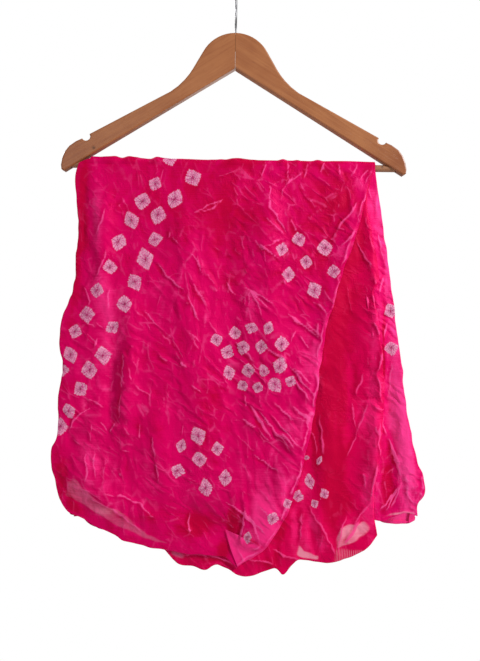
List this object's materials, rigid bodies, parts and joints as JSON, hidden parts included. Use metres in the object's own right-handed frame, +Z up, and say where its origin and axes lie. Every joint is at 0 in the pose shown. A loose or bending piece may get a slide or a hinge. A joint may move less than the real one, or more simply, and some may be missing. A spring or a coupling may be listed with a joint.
{
  "type": "dupatta stole on a wooden clothes hanger",
  "caption": "Tie-dyed crinkled silk dupatta, folded and hung over the trouser bar of a plain wooden clothes hanger with a wire hook.",
  "frame": {"origin": "inside top of the hook, where the rail carries it", "axes": "+Z up, X along the hanger, the front of the cloth faces -Y"},
  "size_m": [0.4721, 0.0561, 0.7464],
  "materials": {
    "dyed_silk": "crinkled, soft sheen, pale tie-dyed dots",
    "beech_wood": "satin lacquer",
    "bar_wood": "bare, sanded",
    "hook_steel": "bright wire"
  },
  "bodies": {
    "root": {"dupatta_outer_stretch": "dyed_silk", "dupatta_middle_stretch": "dyed_silk", "dupatta_inner_stretch": "dyed_silk", "hanger_arm_left": "beech_wood", "hanger_arm_right": "beech_wood", "trouser_bar": "bar_wood", "hanger_hook": "hook_steel"}
  },
  "joints": []
}
